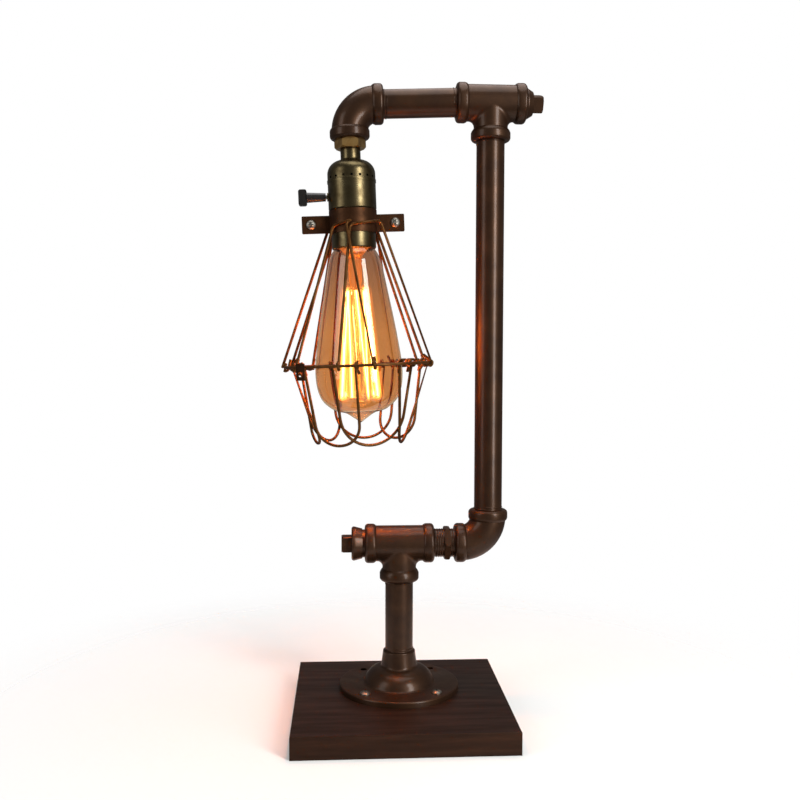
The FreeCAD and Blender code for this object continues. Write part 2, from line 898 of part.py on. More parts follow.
def collar_half(side):
    """Half of the clamp collar with its two ears. side is -1 at the front and 1 at the back."""
    inner = shell_narrow_radius + cage_collar_gap
    low = narrow_drop + cage_collar_length
    band = tube(collar_outer, inner, cage_collar_length, head_axis_point(low))
    span = 3 * ear_reach
    below = head_axis_point(low + cage_collar_length)
    half_space = Part.makeBox(span, span, span, below + Vector(-span / 2, -span if side < 0 else 0, 0))
    slit = Part.makeBox(span, ear_split, span, below + Vector(-span / 2, -ear_split / 2, 0))
    half = band.common(half_space).cut(slit)
    near = ear_split / 2
    for direction in (-1, 1):
        x0 = direction * (inner + 0.4)
        x1 = direction * ear_reach
        y0 = near if side > 0 else -near - cage_collar_wall
        ear_low = ear_drop + ear_height
        corner = head_axis_point(ear_low) + Vector(min(x0, x1), y0, 0)
        ear = Part.makeBox(abs(x1 - x0), cage_collar_wall, ear_height, corner)
        outer_edges = [
            e for e in ear.Edges
            if abs(e.BoundBox.XMin - head_x - x1) < 0.01 and abs(e.BoundBox.XMax - head_x - x1) < 0.01
            and e.BoundBox.YLength > 0.5
        ]
        half = half.fuse(ear.makeFillet(ear_round, outer_edges))
    hole_at = head_axis_point(ear_drop + ear_height / 2)
    for direction in (-1, 1):
        bore = rod(collar_screw_radius + 0.15, 12, hole_at + Vector(direction * collar_screw_offset, -6, 0), Y)
        half = half.cut(bore)
    half = half.cut(rod(inner, span, below))
    return drooped(half.removeSplitter())


def make_cage_collar_front():
    return collar_half(-1)


def make_cage_collar_rear():
    return collar_half(1)


def clamp_stack():
    return ear_split / 2 + cage_collar_wall


def make_collar_screws():
    screw = cross_headed_screw(collar_screw_head, collar_head_height, collar_screw_radius, 2 * clamp_stack() + collar_nut_height + 1)
    screws = []
    for direction in (-1, 1):
        at = head_axis_point(ear_drop + ear_height / 2) + Vector(direction * collar_screw_offset, -clamp_stack(), 0)
        screws.append(drooped(aimed(screw, at, Y * -1)))
    return Part.makeCompound(screws)


def make_collar_nuts():
    nut = hexagon(collar_nut_flats, collar_nut_height, 0.4).cut(rod(collar_screw_radius + 0.02, collar_nut_height))
    nuts = []
    for direction in (-1, 1):
        at = head_axis_point(ear_drop + ear_height / 2) + Vector(direction * collar_screw_offset, clamp_stack(), 0)
        nuts.append(drooped(aimed(nut, at, Y)))
    return Part.makeCompound(nuts)


def wire_ring(radius):
    corner = wire_radius / math.cos(math.pi / wire_sides)
    section = regular_polygon(wire_sides, corner, 180.0 / wire_sides)
    section = Part.Face(aimed(section, ring_point(0, radius, ring_drop), X))
    return section.revolve(head_axis_point(ring_drop), Z, 360)


def make_upper_ring():
    return drooped(wire_ring(upper_ring_radius))


def make_lower_ring():
    return drooped(wire_ring(lower_ring_radius))


def hooked_end(on_ring, leg, inward, aside):
    """Corner points of a hook round a ring wire, tail end first. leg points along the wire towards the hook."""
    turn = math.radians(hook_turn)
    lean = inward * math.cos(turn) + aside * math.sin(turn)
    lean = lean - leg * leg.dot(lean)
    lean.normalize()
    foot = on_ring - lean * hook_radius
    over = foot + leg * hook_radius
    across = over + lean * hook_radius * 2
    return [across - leg * (hook_radius + hook_tail), across, over]


def hairpin(azimuths):
    """Upper cage wire: it hooks up under the ring, runs to the collar, wraps part of it and comes down again."""
    centre = sum(azimuths) / 2
    half = (azimuths[1] - azimuths[0]) / 2
    wrap = half - hairpin_margin
    inner = collar_outer + wire_radius + 0.05
    spread = 1 / math.cos(math.radians(wrap / 3))
    wraps = []
    for i in range(4):
        share = i / 3
        azimuth = centre - wrap + 2 * wrap * share
        drop = hairpin_drop + hairpin_rise * (0.5 - share)
        wraps.append(ring_point(azimuth, (inner + hairpin_lift * share) * spread, drop))
    hooks = []
    for azimuth, side, corner in ((azimuths[0], -1, wraps[0]), (azimuths[1], 1, wraps[3])):
        on_ring = ring_point(azimuth, upper_ring_radius, ring_drop)
        hang = on_ring + outward(azimuth) * hook_radius
        leg = (hang - corner).normalize()
        hooks.append(hooked_end(on_ring, leg, outward(azimuth) * -1, along_ring(azimuth) * side))
    points = hooks[0] + wraps + hooks[1][::-1]
    hook_bends = [hook_radius - hook_ease] * 2
    bend = inner * 0.85
    return wire_along(smooth_path(points, hook_bends + [hairpin_corner, bend, bend, hairpin_corner] + hook_bends))


def make_cage_hairpins():
    return Part.makeCompound([drooped(hairpin(legs)) for legs in hairpin_legs])


def petal(azimuths):
    """Lower cage wire: a U that hangs from two hooks on the lower ring and lies over one neighbour, under the other."""
    centre = sum(azimuths) / 2
    half = math.radians((azimuths[1] - azimuths[0]) / 2)
    outside = lower_ring_radius + hook_radius
    depth = petal_drop - ring_drop
    inset = outside * math.cos(half) - petal_foot_radius
    length = math.hypot(inset, depth)
    across = along_ring(centre)
    down = (outward(centre) * -inset + DOWN * depth).normalize()
    inward = across.cross(down)
    converge = math.radians(petal_converge)
    foot_half = outside * math.sin(half) - length * math.tan(converge)
    foot = ring_point(centre, petal_foot_radius, petal_drop)
    corners = []
    hooks = []
    for azimuth, side in ((azimuths[0], -1), (azimuths[1], 1)):
        on_ring = ring_point(azimuth, lower_ring_radius, ring_drop)
        corner = foot + across * side * foot_half + inward * side * petal_weave
        hang = on_ring + outward(azimuth) * hook_radius
        leg = (hang - corner).normalize()
        corners.append(corner)
        hooks.append(hooked_end(on_ring, leg, outward(azimuth) * -1, along_ring(azimuth) * side))
    points = hooks[0] + corners + hooks[1][::-1]
    hook_bends = [hook_radius - hook_ease] * 2
    fillet = foot_half / math.tan((math.pi / 2 - converge) / 2) * 0.98
    return wire_along(smooth_path(points, hook_bends + [fillet, fillet] + hook_bends))


def make_cage_petals():
    return Part.makeCompound([drooped(petal(legs)) for legs in petal_legs])


def hinge_axis_point():
    """Middle of the hinge: the straight line through the upper ring's wire at the two links."""
    return ring_point(hinge_azimuth, upper_ring_radius * math.cos(math.radians(hinge_half_angle)), ring_drop)


def make_hinge_links():
    """Two oval links of wire round both rings."""
    radius = 2 * wire_radius + hinge_clearance
    out = outward(hinge_azimuth)
    across = out.cross(Z)
    width = upper_ring_radius * math.sin(math.radians(hinge_half_angle))
    links = []
    for side in (-1, 1):
        middle = hinge_axis_point() + across * side * width
        far = middle - out * ring_spacing
        points = [
            (middle + far) * 0.5 + Z * radius,
            middle + Z * radius + out * radius,
            middle - Z * radius + out * radius,
            far - Z * radius - out * radius,
            far + Z * radius - out * radius,
            (middle + far) * 0.5 + Z * radius,
        ]
        links.append(drooped(wire_along(smooth_path(points, [radius * 0.999] * 4))))
    return Part.makeCompound(links)


def make_latch_clip():
    """Folded sheet clip that holds both rings side by side and hangs down as a finger tab."""
    out = outward(latch_azimuth)
    across = Z.cross(out)
    rim_out = upper_ring_radius + wire_radius + latch_clearance
    rim_in = math.sqrt((lower_ring_radius - wire_radius) ** 2 - (latch_width / 2) ** 2) - latch_seat
    under = wire_radius + latch_clearance

    def plate(r0, r1, z0, z1, width):
        middle = head_axis_point(ring_drop)
        corners = [middle + out * r + across * s * width / 2 + Z * z0 for r, s in ((r0, -1), (r1, -1), (r1, 1), (r0, 1))]
        return Part.Face(Part.makePolygon(corners + corners[:1])).extrude(Z * (z1 - z0))

    clip = plate(rim_out, rim_out + latch_sheet, -latch_tab, latch_top, latch_width)
    clip = clip.fuse(plate(rim_in - latch_sheet, rim_out + latch_sheet, -under - latch_sheet, -under, latch_width))
    clip = clip.fuse(plate(rim_in - latch_sheet, rim_in, -under - latch_sheet, wire_radius, latch_width))
    window_top = -under - latch_sheet - 1.2
    window = plate(rim_out - 1, rim_out + 2, window_top - latch_window_height, window_top, latch_window_width)
    return drooped(clip.cut(window).removeSplitter())


def make_stand_lead():
    """Lead from the well in the base to the swing axis under the upper tee."""
    points = [
        Vector(0, post_y, well_floor + 1.5),
        Vector(0, post_y, lower_axis_z),
        Vector(riser_x, post_y, lower_axis_z),
        Vector(riser_x, post_y, upper_axis_z - tee_reach + thread_length),
    ]
    return lead_along(points, [lead_bend, elbow_bend])


def make_arm_lead():
    """Lead from the swing axis to the head's tilt axis."""
    start = Vector(riser_x, post_y, upper_axis_z - tee_reach + thread_length + swivel_gap)
    slope = math.tan(math.radians(arm_droop))
    bend = Vector(riser_x, post_y, pivot.z + (riser_x - pivot.x) * slope)
    along = Rotation(Y, -arm_droop).multVec(X * -1)
    return lead_along([start, bend, pivot + along * (arm_visible + thread_length)], [lead_bend])


def make_head_lead():
    """Lead from the tilt axis down through the lamp nipple to the terminals."""
    start = Vector(head_x + elbow_reach - thread_length - swivel_gap, post_y, upper_axis_z)
    bend = Vector(head_x, post_y, upper_axis_z)
    end = head_axis_point(holder_top + 1.0)
    return drooped(lead_along([start, bend, end], [elbow_reach - thread_length - 1.0]))


def main():
    os.makedirs("parts", exist_ok=True)
    pieces = {
        "base_board": make_base_board,
        "floor_flange": make_floor_flange,
        "flange_screws": make_flange_screws,
        "post_pipe": make_post_pipe,
        "lower_tee": make_lower_tee,
        "lower_plug": make_lower_plug,
        "lower_nipple": make_lower_nipple,
        "lower_locknut": make_lower_locknut,
        "lower_elbow": make_lower_elbow,
        "riser_pipe": make_riser_pipe,
        "stand_lead": make_stand_lead,
        "upper_tee": make_upper_tee,
        "upper_plug": make_upper_plug,
        "arm_pipe": make_arm_pipe,
        "arm_lead": make_arm_lead,
        "upper_elbow": make_upper_elbow,
        "hex_reducer": make_hex_reducer,
        "lamp_nipple": make_lamp_nipple,
        "socket_cap": make_socket_cap,
        "socket_shell": make_socket_shell,
        "shell_liner": make_shell_liner,
        "lamp_holder": make_lamp_holder,
        "terminal_screws": make_terminal_screws,
        "screw_shell": make_screw_shell,
        "centre_contact": make_centre_contact,
        "head_lead": make_head_lead,
        "key_bush": make_key_bush,
        "key_spindle": make_key_spindle,
        "switch_key": make_switch_key,
        "bulb_glass": make_bulb_glass,
        "bulb_cap": make_bulb_cap,
        "bulb_insulator": make_bulb_insulator,
        "bulb_contact": make_bulb_contact,
        "bulb_stem": make_bulb_stem,
        "filament": make_filament,
        "filament_supports": make_filament_supports,
        "cage_collar_front": make_cage_collar_front,
        "cage_collar_rear": make_cage_collar_rear,
        "collar_screws": make_collar_screws,
        "collar_nuts": make_collar_nuts,
        "cage_upper_ring": make_upper_ring,
        "cage_hairpins": make_cage_hairpins,
        "cage_lower_ring": make_lower_ring,
        "cage_petals": make_cage_petals,
        "cage_hinge_links": make_hinge_links,
        "cage_latch_clip": make_latch_clip,
    }
    for name, make in pieces.items():
        shape = make()
        shape.exportStep("parts/" + name + ".step")
        print(name, "valid" if shape.isValid() else "NOT VALID", "solids", len(shape.Solids), "volume", round(shape.Volume, 1))


main()
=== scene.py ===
# %% [markdown]
# # An industrial pipe table lamp
#
# This lamp is a column of half-inch threaded pipe on a square of dark wood. A caged socket with
# a glowing filament bulb hangs from its arm. The construction comes packed from CAD as a fixed
# frame, and this lesson dresses it: it gives each piece its real finish, and makes finer wires,
# glass, glow and threads where a CAD mesh is too plain. Pieces are measured in millimetres and
# brought to metres as they are made, and the room around them is laid out in metres. All of it
# shares the frame of the CAD, so nothing needs fitting.

# %% Load the frame
import json
import math
import bpy
import bmesh
from mathutils import Matrix, Vector


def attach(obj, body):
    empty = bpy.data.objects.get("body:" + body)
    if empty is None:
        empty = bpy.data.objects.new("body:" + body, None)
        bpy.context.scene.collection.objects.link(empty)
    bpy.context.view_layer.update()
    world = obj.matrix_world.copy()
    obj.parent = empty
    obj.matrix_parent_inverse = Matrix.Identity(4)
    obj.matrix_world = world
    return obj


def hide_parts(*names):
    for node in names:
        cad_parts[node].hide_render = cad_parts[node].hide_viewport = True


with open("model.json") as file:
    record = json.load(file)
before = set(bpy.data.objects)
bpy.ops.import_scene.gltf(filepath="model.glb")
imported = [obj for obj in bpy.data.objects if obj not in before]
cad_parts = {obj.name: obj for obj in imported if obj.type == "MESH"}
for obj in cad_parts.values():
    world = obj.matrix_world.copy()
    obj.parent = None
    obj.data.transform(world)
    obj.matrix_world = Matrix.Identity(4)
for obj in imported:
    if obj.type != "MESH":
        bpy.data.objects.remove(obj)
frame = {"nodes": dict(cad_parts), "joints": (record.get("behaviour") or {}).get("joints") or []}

nodes = frame["nodes"]
joints = {joint["name"]: joint for joint in frame["joints"]}
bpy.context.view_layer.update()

# %% [markdown]
# ## Sizes that the lesson shares
#
# The CAD says where things are, but some sizes of the wire cage, of the bulb and of the pipes
# are needed here too, because those pieces are drawn again with finer curves. They are written
# once, in millimetres, as a maker would measure them. The arm droops a little from the point
# where it leaves the upper tee, and the head hangs square to it. So pieces of the head are laid
# out upright, and one function turns them with the arm.

# %% Shared sizes
MM = 0.001
tilt = joints["head_tilt"]
droop = math.atan2(tilt["axis"][2], tilt["axis"][0])
riser_x = 68.45
head_x = -39.15
post_y = 15.0
arm_z = 463.2
tee_half = 26.5
arm_root = Vector((riser_x - tee_half, post_y, arm_z))
print("the arm droops by", round(math.degrees(droop), 2), "degrees")


def to_world(point):
    """A point in the head's own upright millimetres, turned with the drooping arm, in metres."""
    turned = Matrix.Rotation(-droop, 3, "Y") @ (Vector(point) - arm_root)
    return (turned + arm_root) * MM


def around_head(azimuth, radius, drop):
    """A point round the head's axis: azimuth 0 is the front, and drop the way down from the arm."""
    a = math.radians(azimuth)
    return Vector((head_x + radius * math.sin(a), post_y - radius * math.cos(a), arm_z - drop))


def outward(azimuth):
    """The direction away from the head's axis at an azimuth."""
    a = math.radians(azimuth)
    return Vector((math.sin(a), -math.cos(a), 0))


def along_ring(azimuth):
    """The direction round the head's axis at an azimuth."""
    a = math.radians(azimuth)
    return Vector((math.cos(a), math.sin(a), 0))


# %% [markdown]
# ## Colours and shader nodes
#
# A colour picked from a screen is in sRGB, and a shader works in linear light, so one function
# turns the first into the second. Another adds a shader node with its settings and its links in
# one line, which keeps each finish short enough to read as a recipe.

# %% Colour and node helpers
def colour(hex_code):
    """An sRGB hex value as linear RGBA."""
    parts = [int(hex_code[i:i + 2], 16) / 255 for i in (1, 3, 5)]
    linear = [c / 12.92 if c <= 0.04045 else ((c + 0.055) / 1.055) ** 2.4 for c in parts]
    return (*linear, 1.0)


def add(owner, kind, settings=None, **links):
    """Adds a shader node to a material or a world.

    Settings name properties or sockets. Links name sockets to join, and _0 is the first one.
    """
    node = owner.node_tree.nodes.new("ShaderNode" + kind)
    for name, value in (settings or {}).items():
        if name in node.inputs:
            node.inputs[name].default_value = value
        else:
            setattr(node, name, value)
    for name, source in links.items():
        socket = int(name[1:]) if name[1:].isdigit() else name.replace("_", " ")
        owner.node_tree.links.new(source, node.inputs[socket])
    return node


def new_finish(name, **settings):
    """A material with a bare Principled shader, which is returned with its output node."""
    material = bpy.data.materials.new(name)
    material.use_nodes = True
    material.node_tree.nodes.clear()
    named = {key.replace("_", " "): value for key, value in settings.items()}
    shader = add(material, "BsdfPrincipled", named)
    output = add(material, "OutputMaterial", Surface=shader.outputs[0])
    return material, shader, output


def object_space(material, scale=(1, 1, 1)):
    """Object coordinates, stretched so that a pattern can run along a piece."""
    place = add(material, "TexCoord")
    return add(material, "Mapping", {"Scale": scale}, Vector=place.outputs["Object"]).outputs[0]


def noise(material, vector, size_mm, detail=3.0, roughness=0.55):
    """Noise whose lumps are about size_mm across."""
    settings = {"Scale": 1000.0 / size_mm, "Detail": detail, "Roughness": roughness}
    return add(material, "TexNoise", settings, Vector=vector).outputs["Fac"]


def ramp(material, factor, *stops):
    """A colour ramp through (position, hex) stops."""
    node = add(material, "ValToRGB", Fac=factor)
    band = node.color_ramp
    while len(band.elements) < len(stops):
        band.elements.new(0.5)
    for element, (position, hex_code) in zip(band.elements, stops):
        element.position = position
        element.color = colour(hex_code)
    return node.outputs["Color"]


def grey_ramp(material, factor, low, high, dark=0.0, light=1.0):
    """Stretches a factor between two positions to a range of plain values."""
    settings = {"From Min": low, "From Max": high, "To Min": dark, "To Max": light}
    return add(material, "MapRange", settings, Value=factor).outputs[0]


def bump(material, height, depth_mm, strength, normal=None):
    """Raised detail of a real depth, over the relief that normal carries."""
    node = add(material, "Bump", {"Strength": strength, "Distance": depth_mm * MM}, Height=height)
    if normal is not None:
        material.node_tree.links.new(normal, node.inputs["Normal"])
    return node.outputs[0]


def join(material, source, shader, socket):
    """Links an output to a named socket of the shader."""
    material.node_tree.links.new(source, shader.inputs[socket])


def mottle(material, shader, cloud, stops, high, dull, shiny):
    """Colours a shader by a noise, and polishes it where the noise rises from 0.3 to high."""
    join(material, ramp(material, cloud, *stops), shader, "Base Color")
    polish = grey_ramp(material, cloud, 0.3, high, dull, shiny)
    join(material, polish, shader, "Roughness")


print("helpers ready")

# %% [markdown]
# ## Bronze enamel on pipe and malleable fittings
#
# The pipe and its fittings are iron, dipped or sprayed with a dark brown enamel. It reads as a
# nearly black brown with a soft sheen. The castings carry a sandy skin with grains of about
# half a millimetre, and the drawn pipe is smoother. The enamel wears to a lighter brown on high
# spots, so a slow noise shifts colour and gloss together.

# %% Enamel for pipe and for castings
enamel_tones = (
    (0.3, "#26160D"),
    (0.55, "#332013"),
    (0.8, "#432B1C"),
)


def make_enamel(name, grain_mm, grain_depth_mm, roughness):
    """Dark bronze enamel over iron."""
    material, shader, _ = new_finish(name, Metallic=0.5, Roughness=roughness)
    shader.inputs["Specular Tint"].default_value = colour("#DDBBA2")
    place = object_space(material)
    cloud = noise(material, place, 14.0, detail=4.0)
    grain = noise(material, place, grain_mm, detail=2.0)
    mottle(material, shader, cloud, enamel_tones, 0.75, roughness + 0.08, roughness - 0.06)
    join(material, bump(material, grain, grain_depth_mm, 0.6), shader, "Normal")
    shader.inputs["Coat Weight"].default_value = 0.2
    shader.inputs["Coat Roughness"].default_value = 0.16
    return material


pipe_enamel = make_enamel("bronze_enamel_on_drawn_pipe", 1.6, 0.03, 0.36)
cast_enamel = make_enamel("bronze_enamel_on_malleable_iron", 0.7, 0.07, 0.4)
print("enamels:", pipe_enamel.name, cast_enamel.name)

# %% [markdown]
# ## Stained wood
#
# The base is a planed board with a black-brown stain under a thin satin lacquer. Growth rings
# show as long streaks along the board, a few millimetres apart, and pores as fine dark dashes.
# Stretching the coordinates along X draws both, because a lump of noise that is pulled out
# along the grain turns into a streak.

# %% Wood stain
stain_tones = (
    (0.3, "#140A06"),
    (0.5, "#1F120C"),
    (0.7, "#2C1A11"),
)
ring_stretch = (0.09, 1.0, 1.0)
pore_stretch = (0.04, 1.0, 1.0)


def make_wood():
    """Planed board, stained nearly black, with a satin lacquer."""
    material, shader, _ = new_finish("walnut_stain_on_planed_board", Roughness=0.48)
    shader.inputs["Specular IOR Level"].default_value = 0.28
    shader.inputs["Specular Tint"].default_value = colour("#D8B098")
    streaks = noise(material, object_space(material, ring_stretch), 5.0, detail=5.0, roughness=0.6)
    pores = noise(material, object_space(material, pore_stretch), 0.7, detail=2.0)
    mottle(material, shader, streaks, stain_tones, 0.7, 0.5, 0.36)
    relief = bump(material, streaks, 0.08, 0.4)
    join(material, bump(material, pores, 0.04, 0.5, relief), shader, "Normal")
    return material


stained_wood = make_wood()
print("wood:", stained_wood.name)

# %% [markdown]
# ## Bright metals
#
# Three bright metals show. Screws and nuts are zinc-plated steel, pale and slightly mottled.
# The hexagon reducer is turned brass, kept golden. The socket is spun brass with an antique
# finish: an olive-brown patina that is rubbed back, so it stays shiny and keeps very fine rings
# from the spinning. Inner contacts are plain brass too.

# %% Metals
def make_metal(name, dark, light, roughness, lump_mm, ring_mm=None):
    """A bare metal whose tone drifts between two colours, with turning rings where asked."""
    material, shader, _ = new_finish(name, Metallic=1.0, Roughness=roughness)
    cloud = noise(material, object_space(material), lump_mm, detail=4.0)
    tones = ((0.35, dark), (0.7, light))
    mottle(material, shader, cloud, tones, 0.7, roughness + 0.07, roughness - 0.05)
    if ring_mm:
        rings = noise(material, object_space(material, (0.02, 0.02, 1.0)), ring_mm, detail=1.0)
        join(material, bump(material, rings, 0.02, 0.5), shader, "Normal")
    return material


zinc_steel = make_metal("zinc_plated_steel", "#6E6A62", "#9C978D", 0.4, 6.0)
turned_brass = make_metal("turned_brass", "#9A7644", "#D4AC6C", 0.32, 6.0)
antique_brass = make_metal("antiqued_spun_brass", "#463B27", "#6E6246", 0.3, 9.0, ring_mm=0.8)
contact_brass = make_metal("stamped_contact_brass", "#B08A45", "#D6B266", 0.35, 4.0)
tube_steel = make_metal("drawn_steel_tube", "#6E6A64", "#97928A", 0.38, 5.0)
metals = (zinc_steel, turned_brass, antique_brass, contact_brass, tube_steel)
print("metals:", ", ".join(metal.name for metal in metals))

# %% [markdown]
# ## Bronze lacquer on the cage
#
# The cage's wire and its clamp collar are steel with a thin brown lacquer, redder than the
# enamel of the pipes. On wire it wears through at the bends, so patches of coppery brown show
# between darker ones.

# %% Cage lacquers
def make_lacquer(name, dark, middle, light, patch_mm):
    """Thin brown lacquer over steel, patchy where it has worn."""
    material, shader, _ = new_finish(name, Metallic=0.5, Roughness=0.42)
    shader.inputs["Specular Tint"].default_value = colour("#D09A70")
    place = object_space(material)
    cloud = noise(material, place, patch_mm, detail=4.0, roughness=0.6)
    tones = ((0.3, dark), (0.52, middle), (0.75, light))
    mottle(material, shader, cloud, tones, 0.75, 0.5, 0.32)
    join(material, bump(material, noise(material, place, 0.8), 0.03, 0.5), shader, "Normal")
    return material


wire_lacquer = make_lacquer("brown_lacquer_on_steel_wire", "#33200E", "#513418", "#6F4A27", 16.0)
collar_lacquer = make_lacquer("brown_lacquer_on_steel_band", "#24140B", "#352013", "#4A301F", 12.0)
print("lacquers:", wire_lacquer.name, collar_lacquer.name)

# %% [markdown]
# ## Moulded and fibrous insulators
#
# The key and the switch block are black phenolic moulding: glossy, with a faint ripple from the
# mould. The sleeve inside the shell is pressed fibre board, pale and matt. The lead in the
# pipes has a rubber jacket.

# %% Insulators
def make_moulding(name, dark, light, roughness, lump_mm, depth_mm):
    """A dielectric with a slight mottle and a fine relief."""
    material, shader, _ = new_finish(name, Roughness=roughness)
    cloud = noise(material, object_space(material), lump_mm, detail=3.0)
    join(material, ramp(material, cloud, (0.35, dark), (0.7, light)), shader, "Base Color")
    join(material, bump(material, cloud, depth_mm, 0.5), shader, "Normal")
    return material


black_phenolic = make_moulding("black_phenolic_moulding", "#0C0A09", "#191513", 0.32, 2.5, 0.03)
pressed_fibre = make_moulding("pressed_fibre_board", "#7A5C3C", "#9A7A54", 0.85, 1.2, 0.06)
lead_rubber = make_moulding("rubber_lead_jacket", "#0B0B0B", "#171717", 0.7, 1.5, 0.05)
print("insulators:", black_phenolic.name, pressed_fibre.name, lead_rubber.name)

# %% [markdown]
# ## Dress the CAD nodes
#
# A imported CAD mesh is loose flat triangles. Its shape is right, so the node stays as it is and
# gets modifiers that leave the stored mesh alone: Weld joins the triangles, and Edge Split
# keeps the sharp edges sharp while everything between them shades smoothly.

# %% Give every kept node its finish
castings = [
    "floor_flange", "lower_tee", "lower_plug", "lower_elbow",
    "upper_tee", "upper_plug", "upper_elbow",
]
finish_of = {
    stained_wood: ["base_board"],
    cast_enamel: castings,
    pipe_enamel: ["post_pipe", "lower_nipple", "lower_locknut", "riser_pipe", "arm_pipe"],
    zinc_steel: ["flange_screws", "collar_screws", "collar_nuts"],
    lead_rubber: ["stand_lead", "arm_lead", "head_lead"],
    turned_brass: ["hex_reducer"],
    antique_brass: ["socket_cap", "socket_shell", "key_bush"],
    contact_brass: ["terminal_screws", "screw_shell", "centre_contact", "bulb_contact", "bulb_cap"],
    tube_steel: ["lamp_nipple", "key_spindle"],
    pressed_fibre: ["shell_liner"],
    black_phenolic: ["lamp_holder", "switch_key", "bulb_insulator"],
    collar_lacquer: ["cage_collar_front", "cage_collar_rear", "cage_latch_clip"],
}


weld_reach = 0.00001
crease_degrees = 32


def dress(node, finish):
    """Gives a CAD node a finish and smooth shading between its sharp edges."""
    node.data.materials.clear()
    node.data.materials.append(finish)
    node.data.shade_smooth()
    weld = node.modifiers.new("join the loose triangles", "WELD")
    weld.merge_threshold = weld_reach
    split = node.modifiers.new("keep sharp edges", "EDGE_SPLIT")
    split.split_angle = math.radians(crease_degrees)


for finish, names in finish_of.items():
    for name in names:
        dress(nodes[name], finish)
print("dressed", sum(len(names) for names in finish_of.values()), "CAD nodes")

# %% [markdown]
# ## Round wire, bent on a former
#
# The cage is all one wire, 2.2 mm thick, bent into rings, hairpins, petals and links. A wire is
# a path with a round section, which is just what Curve to Mesh makes, so one small tree of
# geometry nodes serves all of them. Its inputs are the wire's radius, the number of sides and
# the finish. The pipe threads further on are swept too, so what any swept tree needs stands in
# two functions: one opens a tree, and one sweeps, smooths and paints at its end.

# %% The round wire tree
def new_tree(name, inputs):
    """An empty geometry tree with (name, kind) inputs, and its input and output nodes."""
    tree = bpy.data.node_groups.new(name, "GeometryNodeTree")
    for label, kind in inputs:
        tree.interface.new_socket(label, in_out="INPUT", socket_type="NodeSocket" + kind)
    tree.interface.new_socket("Geometry", in_out="OUTPUT", socket_type="NodeSocketGeometry")
    return tree, tree.nodes.new("NodeGroupInput"), tree.nodes.new("NodeGroupOutput")


def sweep_out(tree, start, end, path, section):
    """Sweeps the section along the path, then smooths, realizes and paints the result."""
    sweep = tree.nodes.new("GeometryNodeCurveToMesh")
    sweep.inputs["Fill Caps"].default_value = True
    tree.links.new(path.outputs["Curve"], sweep.inputs["Curve"])
    tree.links.new(section.outputs["Curve"], sweep.inputs["Profile Curve"])
    made = sweep.outputs["Mesh"]
    for kind in ("SetShadeSmooth", "RealizeInstances", "SetMaterial"):
        step = tree.nodes.new("GeometryNode" + kind)
        tree.links.new(made, step.inputs["Geometry"])
        made = step.outputs["Geometry"]
    tree.links.new(start.outputs["Finish"], step.inputs["Material"])
    tree.links.new(made, end.inputs["Geometry"])


def make_wire_tree():
    """Geometry nodes that sweep a circle along the edges of a path."""
    tree, start, end = new_tree("round_wire", (
        ("Geometry", "Geometry"),
        ("Wire radius", "Float"),
        ("Sides", "Int"),
        ("Finish", "Material"),
    ))
    path = tree.nodes.new("GeometryNodeMeshToCurve")
    section = tree.nodes.new("GeometryNodeCurvePrimitiveCircle")
    tree.links.new(start.outputs["Geometry"], path.inputs["Mesh"])
    tree.links.new(start.outputs["Wire radius"], section.inputs["Radius"])
    tree.links.new(start.outputs["Sides"], section.inputs["Resolution"])
    sweep_out(tree, start, end, path, section)
    return tree


wire_tree = make_wire_tree()
print("the wire tree has", len(wire_tree.nodes), "nodes")

# %% [markdown]
# A tree works on an object through a modifier. Each set of wires is a bare mesh of points and
# edges that wears the tree, and it is baked to a plain mesh as soon as it is set, so what is
# stored is what is seen.

# %% Bake wires
def set_input(modifier, name, value):
    """Sets a modifier's input by the identifier of the socket with that name."""
    for item in modifier.node_group.interface.items_tree:
        if item.item_type == "SOCKET" and item.in_out == "INPUT" and item.name == name:
            modifier[item.identifier] = value


def bake(thing):
    """Turns an object with live nodes into a plain mesh object of the same name."""
    graph = bpy.context.evaluated_depsgraph_get()
    mesh = bpy.data.meshes.new_from_object(thing.evaluated_get(graph))
    name = thing.name
    bpy.data.objects.remove(thing)
    plain = bpy.data.objects.new(name, mesh)
    mesh.name = name
    bpy.context.scene.collection.objects.link(plain)
    return plain


def wires(name, paths, radius_mm, finish, closed=False, sides=14):
    """Sweeps round wire along one or more paths of world points, as one plain mesh object."""
    mesh = bpy.data.meshes.new(name)
    points = []
    edges = []
    for path in paths:
        first = len(points)
        points.extend(path)
        edges.extend((first + i, first + i + 1) for i in range(len(path) - 1))
        if closed:
            edges.append((first + len(path) - 1, first))
    mesh.from_pydata(points, edges, [])
    thing = bpy.data.objects.new(name, mesh)
    bpy.context.scene.collection.objects.link(thing)
    modifier = thing.modifiers.new("round wire", "NODES")
    modifier.node_group = wire_tree
    set_input(modifier, "Wire radius", radius_mm * MM)
    set_input(modifier, "Sides", sides)
    set_input(modifier, "Finish", finish)
    plain = bake(thing)
    print(name, len(paths), "wires,", len(plain.data.polygons), "faces")
    return plain


print("ready to bake wires")

# %% [markdown]
# ## Corners with a bend radius
#
# A bender turns wire round a pin, so each corner is an arc that is tangent to both straight
# runs. From a list of corner points and a radius for each, this helper keeps the ends of the
# straights and samples the arcs finely enough that the wire looks round.

